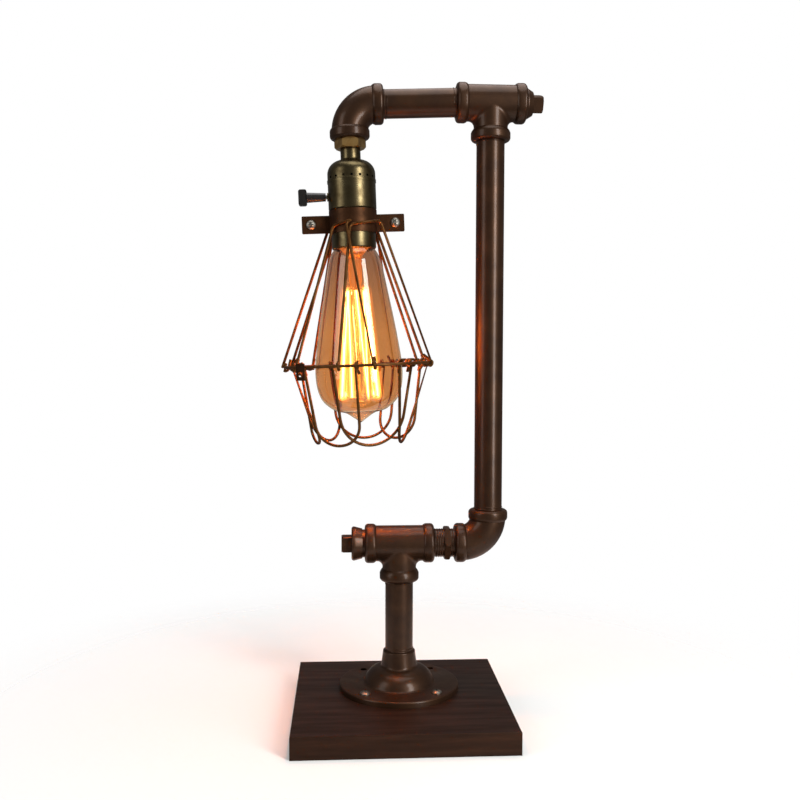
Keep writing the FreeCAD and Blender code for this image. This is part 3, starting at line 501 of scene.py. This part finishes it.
# %% Rounded paths
def rounded(points, radii, step_degrees=9.0):
    """Straight runs joined by tangent arcs, sampled as points."""
    path = [points[0]]
    for before, corner, after, radius in zip(points, points[1:], points[2:], radii):
        back = (before - corner).normalized()
        ahead = (after - corner).normalized()
        half = back.angle(ahead) / 2
        start = corner + back * (radius / math.tan(half))
        centre = corner + (back + ahead).normalized() * (radius / math.sin(half))
        turn = math.pi - 2 * half
        steps = max(2, round(math.degrees(turn) / step_degrees))
        axis = (start - centre).cross(ahead).normalized()
        for i in range(steps + 1):
            path.append(centre + Matrix.Rotation(turn * i / steps, 3, axis) @ (start - centre))
    path.append(points[-1])
    return path


quarter = rounded([Vector((0, 0, 0)), Vector((10, 0, 0)), Vector((10, 10, 0))], [3])
print("a test corner has", len(quarter), "points")

# %% [markdown]
# ## The cage's rings, hairpins and petals
#
# Two rings lie side by side. Six hairpins hang the outer ring from the collar: each wraps part
# of the collar and ends in two hooks round the ring. Seven U-shaped petals hang from the inner
# ring in the same way and close the cage below the bulb. Neighbours cross, one over the other,
# so each petal leans in on one side and out on the other. The legs of every wire are given by
# their azimuths round the head, in degrees.

# %% Cage sizes
wire_radius = 1.1
upper_ring = 55.7
lower_ring = 50.3
ring_drop = 195.0
hook_radius = 2.6
hook_bend = 2.5
hook_tail = 7.0
hook_turn = math.radians(28)
collar_radius = 18.05
hairpin_drop = 90.0
hairpin_margin = 7.0
hairpin_lift = 3.2
hairpin_rise = 3.4
hairpin_corner = 3.6
hairpin_gap = 0.05
hairpin_curl = 0.85
hairpin_legs = (
    (-58.0, 10.5),
    (-15.0, 68.0),
    (106.5, 148.5),
    (120.0, 191.0),
    (205.0, 246.0),
    (224.0, 268.5),
)
petal_drop = 253.5
petal_foot = 33.0
petal_converge = math.radians(8.3)
petal_weave = 3.0
petal_fillet = 0.98
petal_step = 6.0
petal_legs = (
    (-55.5, -2.0),
    (-22.5, 47.0),
    (38.0, 89.0),
    (100.0, 156.0),
    (143.0, 208.0),
    (199.5, 257.0),
    (250.0, 290.0),
)
print(len(hairpin_legs), "hairpins and", len(petal_legs), "petals")

# %% Hooks and hairpins
def hook(on_ring, leg, inward, aside):
    """Corner points of a hook round a ring wire, tail end first."""
    lean = inward * math.cos(hook_turn) + aside * math.sin(hook_turn)
    lean = (lean - leg * leg.dot(lean)).normalized()
    foot = on_ring - lean * hook_radius
    over = foot + leg * hook_radius
    across = over + lean * hook_radius * 2
    return [across - leg * (hook_radius + hook_tail), across, over]


def hairpin(azimuths):
    """Path of an upper wire: up under the ring, round part of the collar, and down again."""
    centre = sum(azimuths) / 2
    wrap = (azimuths[1] - azimuths[0]) / 2 - hairpin_margin
    snug = collar_radius + wire_radius + hairpin_gap
    spread = 1 / math.cos(math.radians(wrap / 3))
    wraps = []
    for i in range(4):
        share = i / 3
        azimuth = centre - wrap + 2 * wrap * share
        radius = (snug + hairpin_lift * share) * spread
        wraps.append(around_head(azimuth, radius, hairpin_drop + hairpin_rise * (0.5 - share)))
    hooks = []
    for azimuth, side, corner in ((azimuths[0], -1, wraps[0]), (azimuths[1], 1, wraps[3])):
        hang = around_head(azimuth, upper_ring + hook_radius, ring_drop)
        leg = (hang - corner).normalized()
        on_ring = around_head(azimuth, upper_ring, ring_drop)
        hooks.append(hook(on_ring, leg, outward(azimuth) * -1, along_ring(azimuth) * side))
    bends = [hook_bend] * 2
    curl = snug * hairpin_curl
    radii = bends + [hairpin_corner, curl, curl, hairpin_corner] + bends
    return [to_world(p) for p in rounded(hooks[0] + wraps + hooks[1][::-1], radii)]


hairpin_paths = [hairpin(legs) for legs in hairpin_legs]
cage_hairpins = wires("bent_hairpins", hairpin_paths, wire_radius, wire_lacquer)
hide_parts("cage_hairpins")
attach(cage_hairpins, "head")

# %% Petals
def petal(azimuths):
    """Path of a lower wire: a U that hangs from two hooks over the inner ring."""
    centre = sum(azimuths) / 2
    half = math.radians((azimuths[1] - azimuths[0]) / 2)
    outside = lower_ring + hook_radius
    depth = petal_drop - ring_drop
    inset = outside * math.cos(half) - petal_foot
    length = math.hypot(inset, depth)
    across = along_ring(centre)
    down = (outward(centre) * -inset + Vector((0, 0, -depth))).normalized()
    inward = across.cross(down)
    foot_half = outside * math.sin(half) - length * math.tan(petal_converge)
    foot = around_head(centre, petal_foot, petal_drop)
    corners = []
    hooks = []
    for azimuth, side in ((azimuths[0], -1), (azimuths[1], 1)):
        corner = foot + across * side * foot_half + inward * side * petal_weave
        leg = (around_head(azimuth, outside, ring_drop) - corner).normalized()
        corners.append(corner)
        on_ring = around_head(azimuth, lower_ring, ring_drop)
        hooks.append(hook(on_ring, leg, outward(azimuth) * -1, along_ring(azimuth) * side))
    bends = [hook_bend] * 2
    fillet = foot_half / math.tan((math.pi / 2 - petal_converge) / 2) * petal_fillet
    radii = bends + [fillet] * 2 + bends
    path = rounded(hooks[0] + corners + hooks[1][::-1], radii, petal_step)
    return [to_world(p) for p in path]


petal_paths = [petal(legs) for legs in petal_legs]
cage_petals = wires("bent_petals", petal_paths, wire_radius, wire_lacquer)
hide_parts("cage_petals")
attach(cage_petals, "basket")

# %% [markdown]
# The two rings are closed wires. On one side two oval links go round both of them, and the
# basket swings down on these. The links stand a few degrees to each side of the hinge.

# %% Rings and hinge links
ring_steps = 160
hinge_azimuth = 132.5
hinge_half = math.radians(4.5)
link_radius = 2 * wire_radius + 0.3
link_steps = 13


def ring_path(radius):
    """Points of a whole ring at the height of the rings."""
    steps = [360 * i / ring_steps for i in range(ring_steps)]
    return [to_world(around_head(azimuth, radius, ring_drop)) for azimuth in steps]


for name, radius, node, body in (
    ("outer_ring", upper_ring, "cage_upper_ring", "head"),
    ("inner_ring", lower_ring, "cage_lower_ring", "basket"),
):
    ring = wires(name, [ring_path(radius)], wire_radius, wire_lacquer, closed=True)
    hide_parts(node)
    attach(ring, body)


def link_path(side):
    """Oval link round both rings at the hinge, as two half circles."""
    out = outward(hinge_azimuth)
    across = out.cross(Vector((0, 0, 1)))
    outer_end = around_head(hinge_azimuth, upper_ring * math.cos(hinge_half), ring_drop)
    outer_end += across * side * upper_ring * math.sin(hinge_half)
    inner_end = outer_end - out * (upper_ring - lower_ring)
    path = []
    for end, way in ((outer_end, 1), (inner_end, -1)):
        for i in range(link_steps + 1):
            a = math.pi * i / link_steps
            bow = out * link_radius * math.sin(a) + Vector((0, 0, link_radius * math.cos(a)))
            path.append(to_world(end + bow * way))
    return path


link_paths = [link_path(-1), link_path(1)]
hinge_links = wires("oval_links", link_paths, wire_radius, wire_lacquer, closed=True)
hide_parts("cage_hinge_links")
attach(hinge_links, "basket")

# %% [markdown]
# ## A blown glass bulb
#
# The bulb is thin amber glass, blown in a mould, with a neck, long flanks, a full bowl and a
# small tip where it was pumped out and sealed. It is turned from one profile: a smooth curve
# through measured radii, followed down the outside and back up the inside, so the wall is
# closed and has a real thickness for the light to pass. Depths count down from the rim of the
# neck. The shoulder is drawn a little fuller than in the CAD, as the photo shows it.

# %% Turning from a profile
bulb_base = 105.15
bulb_wall = 1.0
span_steps = 9
bulb_profile = (
    (13.8, 0.0),
    (19.0, 9.5),
    (24.8, 38.0),
    (30.8, 73.3),
    (33.1, 96.9),
    (29.6, 114.3),
    (20.2, 123.5),
    (11.0, 126.4),
    (5.2, 130.1),
    (0.0, 133.8),
)


def smooth_profile(spots):
    """A smooth curve through (radius, depth) spots, cut into short steps."""
    curve = []
    for i in range(len(spots) - 1):
        a = Vector(spots[max(i - 1, 0)])
        b = Vector(spots[i])
        c = Vector(spots[i + 1])
        d = Vector(spots[min(i + 2, len(spots) - 1)])
        reach = (c - b).length
        leave = (c - a).normalized() * reach
        arrive = (d - b).normalized() * reach
        for k in range(span_steps):
            t = k / span_steps
            from_b = b * (2 * t ** 3 - 3 * t ** 2 + 1) + leave * (t ** 3 - 2 * t ** 2 + t)
            to_c = c * (3 * t ** 2 - 2 * t ** 3) + arrive * (t ** 3 - t ** 2)
            curve.append(from_b + to_c)
    curve.append(Vector(spots[-1]))
    return curve


def moved_in(curve, wall):
    """The profile moved in by the wall's thickness, kept off the axis."""
    inner = []
    for i, spot in enumerate(curve):
        along = (curve[min(i + 1, len(curve) - 1)] - curve[max(i - 1, 0)]).normalized()
        inner.append(spot - Vector((along.y, -along.x)) * wall)
    return [Vector((max(spot.x, 0.0), spot.y)) for spot in inner]


def turn_profile(name, profile, finish, sides=72):
    """Turns a closed (radius, depth) profile about the head's axis, hung at the bulb's neck."""
    shape = bmesh.new()
    rows = []
    for radius, depth in profile:
        spots = sides if radius > 0.001 else 1
        rows.append([
            shape.verts.new(to_world(around_head(360 * i / sides, radius, bulb_base + depth)))
            for i in range(spots)
        ])
    for upper, lower in zip(rows, rows[1:]):
        for i in range(sides):
            ring = [upper[i % len(upper)], upper[(i + 1) % len(upper)]]
            ring += [lower[(i + 1) % len(lower)], lower[i % len(lower)]]
            corners = list(dict.fromkeys(ring))
            if len(corners) > 2:
                shape.faces.new(corners)
    bmesh.ops.recalc_face_normals(shape, faces=shape.faces)
    mesh = bpy.data.meshes.new(name)
    shape.to_mesh(mesh)
    shape.free()
    mesh.materials.append(finish)
    mesh.shade_smooth()
    thing = bpy.data.objects.new(name, mesh)
    bpy.context.scene.collection.objects.link(thing)
    print(name, len(mesh.polygons), "faces")
    return thing


print("the bulb has", len(bulb_profile), "measured radii")

# %% [markdown]
# ## Amber glass
#
# The glass is coloured right through, so white behind it turns to a warm orange brown. Its
# colour is set as the tint of one surface, because light crosses four of them on its way
# through a bulb. Towards the neck the tint fades to a darker, greyer one: painted shade under
# the socket. Shadow rays pass as through a filter, which lets the room's light reach the metal
# behind without the noise of true caustics. The clear glass of the mount gives off a little light
# of its own, for the filament's glare.

# %% Glass finishes
# Between these drops the painted shade on the glass grows towards the neck.
neck_shade_starts = 170.0
neck_shade_full = 112.0


def make_glass(name, tint, roughness, shaded_neck_tint=None):
    """Glass that tints what is behind it and lets light through as a filter does."""
    material, shader, output = new_finish(name, Roughness=roughness, IOR=1.45)
    shader.inputs["Specular IOR Level"].default_value = 0.25
    shader.inputs["Base Color"].default_value = colour(tint)
    shader.inputs["Transmission Weight"].default_value = 1.0
    # Painted shade: the tint turns darker and greyer towards the neck, under the socket.
    if shaded_neck_tint:
        height = add(material, "SeparateXYZ", Vector=object_space(material)).outputs["Z"]
        low = to_world(around_head(0, 0, neck_shade_starts)).z
        high = to_world(around_head(0, 0, neck_shade_full)).z
        neck_shade = grey_ramp(material, height, low, high)
        join(material, ramp(material, neck_shade, (0.0, tint), (1.0, shaded_neck_tint)), shader, "Base Color")
    filter_glass = add(material, "BsdfTransparent", {"Color": colour(tint)})
    ray = add(material, "LightPath")
    mix = add(
        material, "MixShader",
        _0=ray.outputs["Is Shadow Ray"], _1=shader.outputs[0], _2=filter_glass.outputs[0],
    )
    join(material, mix.outputs[0], output, "Surface")
    return material, shader


# The neck tint is painted shade under the socket.
amber_glass, _ = make_glass("amber_blown_glass", "#DFB384", 0.02, shaded_neck_tint="#BC9A82")
lit_glass, lit_shader = make_glass("clear_lamp_glass_lit_by_the_filament", "#FBE8CC", 0.05)
lit_shader.inputs["Emission Color"].default_value = colour("#FFA04A")
lit_shader.inputs["Emission Strength"].default_value = 0.35
print("glasses:", amber_glass.name, lit_glass.name)

# %% Turn the bulb
tip_starts = 100.0
tip_bore = 0.4
outside = smooth_profile(bulb_profile)
inside = [
    spot for spot in moved_in(outside, bulb_wall)
    if spot.x > tip_bore or spot.y < tip_starts
]
inside.append(Vector((0.0, inside[-1].y)))
bulb_glass = turn_profile("blown_bulb", outside + inside[::-1] + outside[:1], amber_glass)
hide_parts("bulb_glass")
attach(bulb_glass, "bulb")

# %% [markdown]
# ## The mount and the glowing filament
#
# Inside stands a glass mount with a long rod. A carbon-like filament zigzags between supports
# at the rod's two ends, seven times down and up, and glows nearly white. A photograph spreads
# such light, so each strand also wears three clear sleeves that glow faintly: seen together
# they make a soft halo from every side.

# %% Mount
mount_profile = (
    (0.0, 0.0),
    (12.4, 0.0),
    (12.4, 0.8),
    (9.6, 3.6),
    (6.4, 7.0),
    (5.0, 10.0),
    (5.0, 27.0),
    (3.6, 31.0),
    (1.6, 34.0),
    (1.3, 38.0),
    (1.3, 114.5),
    (2.6, 116.5),
    (2.6, 118.0),
    (1.4, 119.0),
    (0.0, 119.0),
)
bulb_stem = turn_profile("glass_mount", mount_profile, lit_glass, sides=32)
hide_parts("bulb_stem")
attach(bulb_stem, "bulb")

# %% Filament
filament_corners = 14
filament_ends = ((7.5, 34.0), (14.0, 114.0))


def filament_corner(i):
    """Corner i of the zigzag, alternately at the top and at the bottom of the mount."""
    radius, depth = filament_ends[i % 2]
    return around_head(360 * i / filament_corners, radius, bulb_base + depth)


def make_glow(name, hex_code, strength, clear=False):
    """Light given off by hot wire. A clear one lets what is behind it show through."""
    material, shader, output = new_finish(name)
    material.node_tree.nodes.remove(shader)
    light = add(material, "Emission", {"Color": colour(hex_code), "Strength": strength})
    if clear:
        air = add(material, "BsdfTransparent")
        light = add(material, "AddShader", _0=light.outputs[0], _1=air.outputs[0])
    join(material, light.outputs[0], output, "Surface")
    return material


strand = [to_world(filament_corner(i)) for i in range(filament_corners)]
hot_wire = make_glow("white_hot_carbon_filament", "#FFD58A", 22.0)
filament = wires("zigzag_filament", [strand], 0.4, hot_wire, sides=8)
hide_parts("filament")
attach(filament, "bulb")

for name, radius, hex_code, strength in (
    ("inner_glow", 1.5, "#FFDC96", 1.6),
    ("middle_glow", 3.0, "#FFBE68", 0.7),
    ("outer_glow", 5.0, "#FF9A40", 0.14),
):
    haze = make_glow(name + "_of_hot_wire", hex_code, strength, clear=True)
    sleeve = wires(name, [strand], radius, haze, sides=12)
    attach(sleeve, "bulb")

# %% Filament supports
support_feet = ((3.1, 32.0), (2.0, 116.0))
bend_share = 0.6
bend_sag = 0.3


def support(i):
    """A fine wire from the mount out to a corner of the zigzag, with a slight bend."""
    tip = filament_corner(i)
    radius, depth = support_feet[i % 2]
    foot = around_head(360 * i / filament_corners, radius, bulb_base + depth)
    below = depth - filament_ends[i % 2][1]
    bend = foot.lerp(tip, bend_share) - Vector((0, 0, below * bend_sag))
    return [to_world(foot), to_world(bend), to_world(tip)]


support_paths = [support(i) for i in range(filament_corners)]
supports = wires("support_wires", support_paths, 0.3, tube_steel, sides=6)
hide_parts("filament_supports")
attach(supports, "bulb")

# %% [markdown]
# ## Pipe threads
#
# Where a pipe enters a fitting, a few turns of thread stay in view. Half-inch pipe has 14
# threads to the inch, a pitch of 1.81 mm. Geometry Nodes have a spiral curve ready, and a small
# round section along it makes the crests. The spiral stands on Z, so each set is turned to its
# pipe and moved to its place when it is baked.

# %% The thread tree
thread_pitch = 1.814
thread_radius = 10.5
crest_radius = 0.5
spiral_steps = 48
crest_sides = 8


def make_thread_tree():
    """Geometry nodes that wind a crest along a spiral."""
    tree, start, end = new_tree("pipe_thread", (
        ("Turns", "Float"),
        ("Pitch", "Float"),
        ("Thread radius", "Float"),
        ("Crest radius", "Float"),
        ("Finish", "Material"),
    ))
    height = tree.nodes.new("ShaderNodeMath")
    height.operation = "MULTIPLY"
    spiral = tree.nodes.new("GeometryNodeCurveSpiral")
    spiral.inputs["Resolution"].default_value = spiral_steps
    section = tree.nodes.new("GeometryNodeCurvePrimitiveCircle")
    section.inputs["Resolution"].default_value = crest_sides
    link = tree.links.new
    link(start.outputs["Turns"], height.inputs[0])
    link(start.outputs["Pitch"], height.inputs[1])
    link(start.outputs["Turns"], spiral.inputs["Rotations"])
    link(start.outputs["Thread radius"], spiral.inputs["Start Radius"])
    link(start.outputs["Thread radius"], spiral.inputs["End Radius"])
    link(height.outputs[0], spiral.inputs["Height"])
    link(start.outputs["Crest radius"], section.inputs["Radius"])
    sweep_out(tree, start, end, spiral, section)
    return tree


thread_tree = make_thread_tree()
print("the thread tree has", len(thread_tree.nodes), "nodes")

# %% Threads in view
lower_z = 128.2
tee_branch = 28.8
elbow_reach = 26.0
flange_top = 45.5
short_run = 1.3


def thread(name, start_mm, along, turns, body, on_arm=False):
    """Winds a thread round a pipe from a point on its axis, in millimetres, along a direction."""
    thing = bpy.data.objects.new(name, bpy.data.meshes.new(name))
    bpy.context.scene.collection.objects.link(thing)
    modifier = thing.modifiers.new("pipe thread", "NODES")
    modifier.node_group = thread_tree
    for key, value in (
        ("Turns", turns),
        ("Pitch", thread_pitch * MM),
        ("Thread radius", thread_radius * MM),
        ("Crest radius", crest_radius * MM),
        ("Finish", pipe_enamel),
    ):
        set_input(modifier, key, value)
    plain = bake(thing)
    turn = Vector((0, 0, 1)).rotation_difference(Vector(along)).to_matrix().to_4x4()
    place = Matrix.Translation(Vector(start_mm) * MM) @ turn
    if on_arm:
        pivot = Matrix.Translation(arm_root * MM)
        place = pivot @ Matrix.Rotation(-droop, 4, "Y") @ pivot.inverted() @ place
    plain.data.transform(place)
    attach(plain, body)
    return plain


up = (0, 0, 1)
down = (0, 0, -1)
right = (1, 0, 0)
left = (-1, 0, 0)
arm_left_end = (head_x + elbow_reach, post_y, arm_z)
thread("nipple_thread_left", (tee_half, post_y, lower_z), right, 4.2, "stand")
thread("nipple_thread_right", (riser_x - elbow_reach, post_y, lower_z), left, 1.8, "stand")
thread("riser_thread_low", (riser_x, post_y, lower_z + elbow_reach), up, short_run, "stand")
thread("riser_thread_high", (riser_x, post_y, arm_z - tee_branch), down, short_run, "stand")
thread("post_thread_low", (0, post_y, flange_top), up, short_run, "stand")
thread("post_thread_high", (0, post_y, lower_z - tee_branch), down, short_run, "stand")
thread("arm_thread_right", arm_root, left, short_run, "arm", on_arm=True)
thread("arm_thread_left", arm_left_end, right, short_run, "arm", on_arm=True)
print("threads wound")

# %% [markdown]
# ## Floor, light and camera
#
# The lamp stands on pale paper that catches its shadow and thins out into the white behind. Two
# tall soft boxes give the pipes and the socket their long highlights, a wide one overhead
# lights what faces up, and a weak world light fills the rest. The camera and the glass see that
# world as plain white. The bulb burns, so a small warm lamp sits in it and rides with it: it
# puts the orange streaks on the riser and on the tee below. The camera stands where the photo
# was taken from.

# %% Floor and white surroundings
paper_radius = 0.45
paper_thins = 0.14
paper_ends = 0.42
white = (1, 1, 1, 1)


def make_floor():
    """Pale matt paper that thins out to nothing away from the lamp."""
    material, shader, output = new_finish("pale_paper_sweep", Roughness=0.9)
    shader.inputs["Base Color"].default_value = colour("#F4F4F2")
    shader.inputs["Specular IOR Level"].default_value = 0.1
    place = add(material, "TexCoord").outputs["Object"]
    reach = add(material, "VectorMath", {"operation": "LENGTH"}, Vector=place).outputs["Value"]
    settings = {"interpolation_type": "SMOOTHSTEP", "From Min": paper_thins, "From Max": paper_ends}
    thin = add(material, "MapRange", settings, Value=reach)
    air = add(material, "BsdfTransparent")
    mix = add(material, "MixShader", _0=thin.outputs[0], _1=shader.outputs[0], _2=air.outputs[0])
    join(material, mix.outputs[0], output, "Surface")
    return material


def disc(name, radius, finish, sides=96):
    """A flat round sheet on the ground."""
    mesh = bpy.data.meshes.new(name)
    angles = [2 * math.pi * i / sides for i in range(sides)]
    ring = [(radius * math.cos(a), radius * math.sin(a), 0) for a in angles]
    mesh.from_pydata(ring, [], [list(range(sides))])
    mesh.materials.append(finish)
    thing = bpy.data.objects.new(name, mesh)
    bpy.context.scene.collection.objects.link(thing)
    return thing


floor = disc("paper_sweep", paper_radius, make_floor())

world = bpy.data.worlds.new("white_surroundings")
bpy.context.scene.world = world
world.use_nodes = True
world.node_tree.nodes.clear()
backdrop = add(world, "Background", {"Color": white, "Strength": 1.0})
fill = add(world, "Background", {"Color": white, "Strength": 0.16})
rays = add(world, "LightPath").outputs
seen = add(
    world, "Math", {"operation": "MAXIMUM"},
    _0=rays["Is Camera Ray"], _1=rays["Is Transmission Ray"],
)
either = add(world, "MixShader", _0=seen.outputs[0], _1=fill.outputs[0], _2=backdrop.outputs[0])
add(world, "OutputWorld", Surface=either.outputs[0])
print("floor and world ready")

# %% Lamps
def soft_box(name, place, aim, width, height, power):
    """A rectangular white lamp that faces a point."""
    data = bpy.data.lights.new(name, "AREA")
    data.shape = "RECTANGLE"
    data.size = width
    data.size_y = height
    data.energy = power
    lamp = bpy.data.objects.new(name, data)
    lamp.location = place
    lamp.rotation_euler = (Vector(aim) - Vector(place)).to_track_quat("-Z", "Y").to_euler()
    bpy.context.scene.collection.objects.link(lamp)
    return lamp


mid_lamp = (0.0, 0.0, 0.25)
low_lamp = (0.0, 0.0, 0.2)
soft_box("right_soft_box", (0.75, -0.95, 0.55), mid_lamp, width=0.35, height=1.2, power=20.0)
soft_box("left_soft_box", (-1.1, -0.6, 0.6), mid_lamp, width=0.5, height=1.2, power=5.0)
soft_box("top_soft_box", (0.1, 0.1, 1.5), low_lamp, width=1.2, height=1.2, power=14.0)

filament_middle = 75.0
glow_data = bpy.data.lights.new("light_of_the_filament", "POINT")
glow_data.energy = 2.6
glow_data.color = colour("#FFBC78")[:3]
glow_data.shadow_soft_size = 0.014
glow = bpy.data.objects.new("light_of_the_filament", glow_data)
glow.location = to_world(around_head(0, 0, bulb_base + filament_middle))
glow.visible_camera = False
glow.visible_transmission = False
bpy.context.scene.collection.objects.link(glow)
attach(glow, "bulb")
print("lamps:", len(bpy.data.lights))

# %% Camera
camera_place = (-0.04148, -0.67687, 0.27016)
camera_yaw = 0.06022
camera_pitch = 0.04586
camera_roll = 0.00298
film_width = 36.0
focal_pixels = 908.3
picture_pixels = 800
camera_data = bpy.data.cameras.new("photographer")
camera_data.sensor_width = film_width
camera_data.lens = film_width * focal_pixels / picture_pixels
camera = bpy.data.objects.new("photographer", camera_data)
turn = Matrix.Rotation(-camera_yaw, 4, "Z") @ Matrix.Rotation(math.pi / 2 - camera_pitch, 4, "X")
camera.matrix_world = Matrix.Translation(camera_place) @ turn @ Matrix.Rotation(camera_roll, 4, "Z")
camera_data.clip_start = 0.01
bpy.context.scene.collection.objects.link(camera)
bpy.context.scene.camera = camera
bpy.context.scene.view_settings.view_transform = "Standard"
print("camera lens", round(camera_data.lens, 2), "mm")
